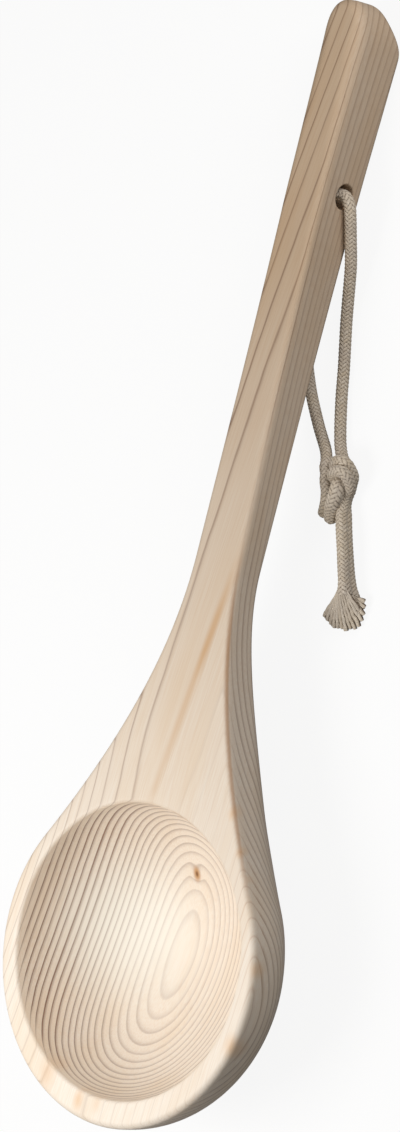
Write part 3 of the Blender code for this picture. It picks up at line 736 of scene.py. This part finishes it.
# Sanded, untreated spruce: satin-dull and pale; the eye sees thin brown autumn-wood lines 2 to 3 mm apart
# that form long ovals in the hollow, fine streaks along the grain, a warm resin streak on the neck and
# one small pin knot. Lengths and places are millimetres in the body's own frame. The rings are closer
# together about 38 mm from the pith. Each spot is x, y, radius and strength.
wood = dict(
    # The pale colour paints a highlight in the hollow; the end and side tones paint shade toward the handle's
    # end.
    pale="FFFDF4", early="FBF1E4", mid="F4E4D2", late="7A4C34", warm="F0D6B4", resin="D0A068",
    stain="B07A45", spot="EAB87E", knot="C18A4A", knotHeart="7A4F28", paintedEndShade="D2C2B0", paintedSideShade="D0C5B9",
    ringWidth=2.36, ringStart=-3.60, closerAt=38.3, closerOver=9.0, closer=0.5, unevenScale=0.3, uneven=0.16,
    ring=((0.0, 0), (0.50, 0.06), (0.74, 0.48), (0.88, 1), (0.94, 0.75), (0.995, 0)), weakestRing=0.8,
    thinOnTop=2.4, stainedLines=0.3, paintedHighlightFadesLines=0.45, waves=(("wave", 0.7), ("ripple", 0.35)),
    knotAt=(-3.4, 28.7, -32.2), knotShape=(1, 0.62, 0.25), knotBends=1.3, knotBendsOver=4.5,
    paintedHighlightAt=(-29.3, 3.0, -32.0), resinSlope=0.155, resinStart=-11.6, resinWaves=2.0, edgeDown=0.9,
    spotShape=(1, 0.6, 0.4), spotDown=1.0, streaky=(0.30, 0.62), lineHeight=0.6, fibre=0.00004, bump=0.6,
    specular=0.38,
    spots=((-22.5, -50.8, 6.0, 0.35), (-5.7, -55.5, 3.5, 0.5), (3.3, -54.3, 3.0, 0.25),
           (55.9, -18.5, 4.0, 0.5), (33.0, 58.0, 2.5, 0.4), (40.0, 46.0, 2.0, 0.4), (46.0, 38.8, 2.0, 0.4),
           (58.5, 9.6, 3.0, 0.5)),
    # Noises that follow the grain: waves per millimetre across and along it, detail and roughness
    noises=dict(
        wave=(0.035, 0.009, 1.5, 0.5), ripple=(0.22, 0.05, 2.0, 0.5), streaks=(2.2, 0.035, 4.0, 0.6),
        patches=(0.07, 0.012, 2.0, 0.5), fibres=(7.0, 0.25, 3.0, 0.5)),
    # Shares that follow a measure: from this value of it to that one, the share goes from this to that
    fades=dict(
        onTop=("Z", -5.0, -0.6, 0.0, 1.0, "LINEAR"),
        leftward=("X", -45.0, 30.0, 1.0, 0.5, "LINEAR"),
        outer=("radius", 9.0, 40.0, 0.30, 1.0, "LINEAR"),
        later=("radius", 10.0, 45.0, 0.0, 0.45, "LINEAR"),
        nearBowl=("Y", 200.0, -40.0, 0.0, 0.72, "LINEAR"),
        onNeck=("Y", -20.0, 150.0, 0.0, 1.0, "LINEAR"),
        toRight=("X", -6.0, 10.0, 0.0, 0.8, "LINEAR"),
        abovePith=("sideways", 2.0, 9.0, 0.75, 0.0, "SMOOTHSTEP"),
        onRim=("X", 42.0, 50.0, 0.0, 0.75, "LINEAR"),
        onHandle=("Y", 60.0, 190.0, 0.0, 0.45, "LINEAR"),
        upperEdge=("Z", -9.0, -2.0, 0.0, 1.0, "LINEAR"),
        rightEdge=("X", 36.0, 46.0, 0.0, 1.0, "LINEAR"),
        behind=("Y", -20.0, 10.0, 0.0, 1.0, "LINEAR"),
        patchy=("patches", 0.45, 0.75, 0.0, 0.35, "LINEAR"),
        # A painted highlight in the hollow, strongest near one point
        pale=("fromPaintedHighlight", 4.0, 40.0, 0.85, 0.0, "SMOOTHSTEP"),
        # Painted shade: deepens toward the handle's end
        toEnd=("Y", 0.0, 250.0, 0.0, 1.0, "LINEAR"),
        resinWidth=("fromResin", 0.2, 2.7, 1.0, 0.0, "SMOOTHSTEP"),
        resinReach=("Y", 50.0, 145.0, 0.0, 1.0, "LINEAR"),
        shallow=("Z", -3.0, -1.0, 0.0, 1.0, "LINEAR"),
        edgeWidth=("fromEdge", 0.1, 0.85, 0.65, 0.0, "SMOOTHSTEP"),
        besideNeck=("X", 4.0, 8.0, 0.0, 1.0, "LINEAR"),
        edgeReach=("Y", 25.0, 150.0, 0.0, 1.0, "LINEAR"),
        knot=("fromKnot", 0.6, 2.4, 0.85, 0.0, "SMOOTHSTEP"),
        knotHeart=("fromKnot", 0.225, 0.9, 0.85, 0.0, "SMOOTHSTEP"),
        roughness=("fibres", 0.0, 1.0, 0.44, 0.60, "LINEAR")),
    # Some of them rise and fall again on the way
    ramps=dict(
        onNeck=((0.0, 0), (0.18, 1), (0.6, 1), (1.0, 0)),
        resinReach=((0.0, 0), (0.08, 0.25), (0.5, 0.45), (0.62, 0.68), (0.76, 0.6), (0.88, 0.3), (1.0, 0.05)),
        edgeReach=((0.0, 0), (0.2, 0.8), (0.7, 1), (1.0, 0))),
    # Products of shares. The first four take the ring lines away: on the top face toward the bowl, on the
    # neck's right, where the top face cuts the rings flat (right above the pith and on the right rim), and
    # low on the handle.
    products=dict(
        faintOnTop=("nearBowl", "onTop"), faintAtRight=("toRight", "onNeck", "onTop"),
        faintWhereFlat=("flatCut", "onTop"), faintBelow=("onHandle", "below"),
        stained=("upperEdge", "rightEdge", "behind"), resin=("resinWidth", "resinReach", "shallow"),
        edgeLine=("edgeWidth", "besideNeck", "edgeReach")))


# What the wood's shares follow: the body's own x, y and z, the noises, and distances from the pith (waved
# a little along the grain and bent round the pin knot), the pin knot, the painted highlight in the hollow,
# the resin streak and the neck's edge
def woodMeasures(add):
    grain = add("Attribute", output="Vector", attribute_name="grain")
    own = add("Attribute", output="Vector", attribute_name="ownPlace")
    measures = {socket.name: socket for socket in add("SeparateXYZ", {"Vector": own}).node.outputs}
    sideways = add("SeparateXYZ", {"Vector": grain})
    measures["sideways"] = add("Math", {0: sideways}, operation="ABSOLUTE")
    for name, (across, along, detail, roughness) in wood["noises"].items():
        place = add("VectorMath", {0: grain, 1: (across, along, across)}, operation="MULTIPLY")
        measures[name] = add("TexNoise", {"Vector": place, "Scale": 1.0, "Detail": detail,
                                          "Roughness": roughness})
    section = add("VectorMath", {0: grain, 1: (1, 0, 1)}, operation="MULTIPLY")
    radius = add("VectorMath", {0: section}, operation="LENGTH")
    for name, amount in wood["waves"]:
        radius = add("Math", {0: measures[name], 1: amount, 2: radius}, operation="MULTIPLY_ADD")
    onPlan = add("VectorMath", {0: own, 1: wood["knotShape"]}, operation="MULTIPLY")
    knotAt = [place * shape for place, shape in zip(wood["knotAt"], wood["knotShape"])]
    measures["fromKnot"] = add("VectorMath", {0: onPlan, 1: knotAt}, operation="DISTANCE")
    bend = add("MapRange", {"Value": measures["fromKnot"], "From Max": wood["knotBendsOver"],
                            "To Min": wood["knotBends"], "To Max": 0.0},
               interpolation_type="SMOOTHERSTEP")
    measures["radius"] = add("Math", {0: radius, 1: bend}, operation="ADD")
    measures["fromPaintedHighlight"] = add("VectorMath", {0: own, 1: wood["paintedHighlightAt"]}, operation="DISTANCE")
    middle = add("Math", {0: measures["Y"], 1: wood["resinSlope"], 2: wood["resinStart"]},
                 operation="MULTIPLY_ADD")
    offset = add("Math", {0: measures["X"], 1: middle}, operation="SUBTRACT")
    offset = add("Math", {0: measures["streaks"], 1: wood["resinWaves"], 2: offset},
                 operation="MULTIPLY_ADD")
    measures["fromResin"] = add("Math", {0: offset}, operation="ABSOLUTE")
    offset = add("Math", {0: measures["Z"], 1: wood["edgeDown"]}, operation="ADD")
    measures["fromEdge"] = add("Math", {0: offset}, operation="ABSOLUTE")
    return own, measures


def woodShares(add, measures):
    shares = {}
    for name, (measure, start, end, first, last, way) in wood["fades"].items():
        shares[name] = add("MapRange", {"Value": measures[measure], "From Min": start,
                                        "From Max": end, "To Min": first, "To Max": last},
                           interpolation_type=way)
    for name, stops in wood["ramps"].items():
        shares[name] = add("ValToRGB", {"Fac": shares[name]}, stops=stops)
    shares["below"] = add("Math", {0: 1.0, 1: shares["onTop"]}, operation="SUBTRACT")
    shares["flatCut"] = add("Math", {0: shares["abovePith"], 1: shares["onRim"]},
                            operation="MAXIMUM")
    for name, (first, *others) in wood["products"].items():
        product = shares[first]
        for other in others:
            product = add("Math", {0: product, 1: shares[other]}, operation="MULTIPLY")
        shares[name] = product
    return shares


# Growth rings: their number is the distance from the pith in ring widths, with a bell curve where they
# are closer and a little noise. A line darkens slowly toward the end of its ring and stops short. On the
# top face it is thin, and each ring's line has its own strength.
def ringLines(add, radius, shares):
    closer = add("Math", {0: radius, 1: wood["closerAt"]}, operation="SUBTRACT")
    closer = add("Math", {0: closer, 1: closer}, operation="MULTIPLY")
    closer = add("Math", {0: closer, 1: -1 / wood["closerOver"]**2}, operation="MULTIPLY")
    closer = add("Math", {0: closer}, operation="EXPONENT")
    uneven = add("TexNoise", {"W": radius, "Scale": wood["unevenScale"], "Detail": 1.0},
                 noise_dimensions="1D")
    rings = add("Math", {0: radius, 1: 1 / wood["ringWidth"], 2: wood["ringStart"]},
                operation="MULTIPLY_ADD")
    rings = add("Math", {0: closer, 1: wood["closer"], 2: rings}, operation="MULTIPLY_ADD")
    rings = add("Math", {0: rings, 1: shares["later"]}, operation="SUBTRACT")
    rings = add("Math", {0: uneven, 1: wood["uneven"], 2: rings}, operation="MULTIPLY_ADD")
    line = add("Math", {0: rings}, operation="FRACT")
    line = add("ValToRGB", {"Fac": line}, stops=wood["ring"])
    thin = add("Math", {0: shares["onTop"], 1: wood["thinOnTop"], 2: 1.0}, operation="MULTIPLY_ADD")
    line = add("Math", {0: line, 1: thin}, operation="POWER")
    number = add("Math", {0: rings}, operation="FLOOR")
    strength = add("TexWhiteNoise", {"W": number}, noise_dimensions="1D")
    strength = add("MapRange", {"Value": strength, "To Min": wood["weakestRing"]})
    for name in ("leftward", "outer"):
        strength = add("Math", {0: strength, 1: shares[name]}, operation="MULTIPLY")
    for name in ("faintOnTop", "faintAtRight", "faintWhereFlat", "faintBelow"):
        kept = add("Math", {0: 1.0, 1: shares[name]}, operation="SUBTRACT")
        strength = add("Math", {0: strength, 1: kept}, operation="MULTIPLY")
    strength = add("Math", {0: shares["stained"], 1: wood["stainedLines"], 2: strength},
                   operation="MULTIPLY_ADD", use_clamp=True)
    line = add("Math", {0: line, 1: strength}, operation="MULTIPLY")
    # Ring lines fade inside the painted highlight
    kept = add("Math", {0: shares["pale"], 1: -wood["paintedHighlightFadesLines"], 2: 1.0}, operation="MULTIPLY_ADD")
    return add("Math", {0: line, 1: kept}, operation="MULTIPLY")


# Small warm patches on the rim and the neck's edge: a smooth step from each middle; the strongest counts
def warmSpots(add, own):
    shape = wood["spotShape"]
    flat = add("VectorMath", {0: own, 1: shape}, operation="MULTIPLY")
    strongest = 0.0
    for x, y, size, most in wood["spots"]:
        middle = (x, y * shape[1], -wood["spotDown"] * shape[2])
        away = add("VectorMath", {0: flat, 1: middle}, operation="DISTANCE")
        spot = add("MapRange", {"Value": away, "From Max": size, "To Min": most, "To Max": 0.0},
                   interpolation_type="SMOOTHSTEP")
        strongest = add("Math", {0: strongest, 1: spot}, operation="MAXIMUM")
    return strongest


# Pale wood with streaks and warm patches, and a paler patch in the hollow that is a painted highlight; then
# the ring lines, stained with resin along the bowl's right edge; then painted shade, darker and browner
# toward the handle's end, where less lamp light reaches, and greyer below the top face; then the marks. The
# hard autumn wood stands a little proud.
def makeWood():
    material, shader, add = newMaterial("sanded_spruce")
    own, measures = woodMeasures(add)
    shares = woodShares(add, measures)
    line = ringLines(add, measures["radius"], shares)
    colour = add("ValToRGB", {"Fac": measures["streaks"]},
                 stops=list(zip(wood["streaky"], (hexColour(wood["mid"]), hexColour(wood["early"])))))
    late = add("Mix", {"Factor": shares["stained"], 6: hexColour(wood["late"]),
                       7: hexColour(wood["stain"])}, data_type="RGBA")
    # Painted shade: a tone that darkens toward the handle's end and is greyer below the top face, multiplied
    # in
    paintedShade = add("Mix", {"Factor": shares["below"], 6: hexColour(wood["paintedEndShade"]),
                       7: hexColour(wood["paintedSideShade"])}, data_type="RGBA")
    paintedShade = add("Mix", {"Factor": shares["toEnd"], 6: white, 7: paintedShade}, data_type="RGBA")
    # The pale share paints a highlight in the hollow
    for share, other in ((shares["patchy"], hexColour(wood["warm"])),
                         (shares["pale"], hexColour(wood["pale"])), (line, late)):
        colour = add("Mix", {"Factor": share, 6: colour, 7: other}, data_type="RGBA")
    colour = add("Mix", {"Factor": 1.0, 6: colour, 7: paintedShade}, data_type="RGBA",
                 blend_type="MULTIPLY")
    for share, mark in ((warmSpots(add, own), "spot"), (shares["resin"], "resin"),
                        (shares["edgeLine"], "stain"), (shares["knot"], "knot"),
                        (shares["knotHeart"], "knotHeart")):
        colour = add("Mix", {"Factor": share, 6: colour, 7: hexColour(wood[mark])},
                     data_type="RGBA")
    height = add("Math", {0: line, 1: wood["lineHeight"], 2: measures["fibres"]},
                 operation="MULTIPLY_ADD")
    normal = add("Bump", {"Height": height, "Distance": wood["fibre"], "Strength": wood["bump"]})
    setInputs(shader, {"Base Color": colour, "Normal": normal, "Roughness": shares["roughness"],
                       "Specular IOR Level": wood["specular"]})
    return material


makeLadle()
print("ladle done")


# Table, sky and lamps: a white table top that fades to clean white with distance, a soft lamp above the
# bowl from the front left, which reaches the handle less, and a weak warm one low beyond the handle's end
# on the right
stage = dict(tableHalf=3, table="F8F8F8", roughness=0.9, bounce="8A8A8A", clean=0.90, cleanFrom=0.4,
             cleanTo=1.2, sky=0.20, skyTint=(1.0, 0.94, 0.86, 1))
lamps = dict(
    key=dict(place=(-0.11, -0.24, 0.47), aim=(0.0, -0.138, 0.03), size=0.28, power=1.84,
             tint=(1.0, 0.99, 0.97)),
    fill=dict(place=(0.30, 0.42, 0.20), aim=(0.0, 0.20, 0.02), size=0.24, power=1.20,
              tint=(1.0, 0.98, 0.96)))


def makeTable():
    mesh = bpy.data.meshes.new("table_top")
    half = stage["tableHalf"]
    corners = [(-half, -half, 0), (half, -half, 0), (half, half, 0), (-half, half, 0)]
    mesh.from_pydata(corners, [], [(0, 1, 2, 3)])
    material, shader, add = newMaterial("white_table")
    setInputs(shader, {"Base Color": hexColour(stage["table"]), "Roughness": stage["roughness"],
                       "Specular IOR Level": 0.0})
    dull = add("BsdfDiffuse", {"Color": hexColour(stage["bounce"])})
    bright = add("Emission", {"Color": white, "Strength": 1.0})
    place = add("TexCoord", output="Object")
    away = add("VectorMath", {0: place}, operation="LENGTH")
    share = add("MapRange", {"Value": away, "From Min": stage["cleanFrom"],
                             "From Max": stage["cleanTo"], "To Min": stage["clean"]},
                interpolation_type="SMOOTHSTEP")
    clean = add("MixShader", {0: share, 1: shader.outputs[0], 2: bright})
    seen = add("LightPath", output="Is Camera Ray")
    mix = add("MixShader", {0: seen, 1: dull, 2: clean})
    setInputs(material.node_tree.nodes["Material Output"], {"Surface": mix})
    newObject("table_top", mesh, material)


def makeLamps():
    for name, values in lamps.items():
        lamp = bpy.data.lights.new(name, "AREA")
        lamp.size = values["size"]
        lamp.energy = values["power"]
        lamp.color = values["tint"]
        thing = newObject(name, lamp)
        thing.location = values["place"]
        back = Vector(values["place"]) - Vector(values["aim"])
        thing.rotation_euler = back.to_track_quat("Z", "Y").to_euler()


def makeSky():
    world = bpy.data.worlds.new("sky")
    bpy.context.scene.world = world
    world.use_nodes = True
    world.node_tree.nodes.clear()
    add = partial(addNode, world.node_tree)
    seen = add("LightPath", output="Is Camera Ray")
    light = add("Background", {"Color": stage["skyTint"], "Strength": stage["sky"]})
    bright = add("Background", {"Color": white, "Strength": 1.0})
    mix = add("MixShader", {0: seen, 1: light, 2: bright})
    add("OutputWorld", {"Surface": mix})


makeTable()
makeLamps()
makeSky()
bpy.context.scene.view_settings.view_transform = "Standard"
print("stage done")

bpy.context.view_layer.update()
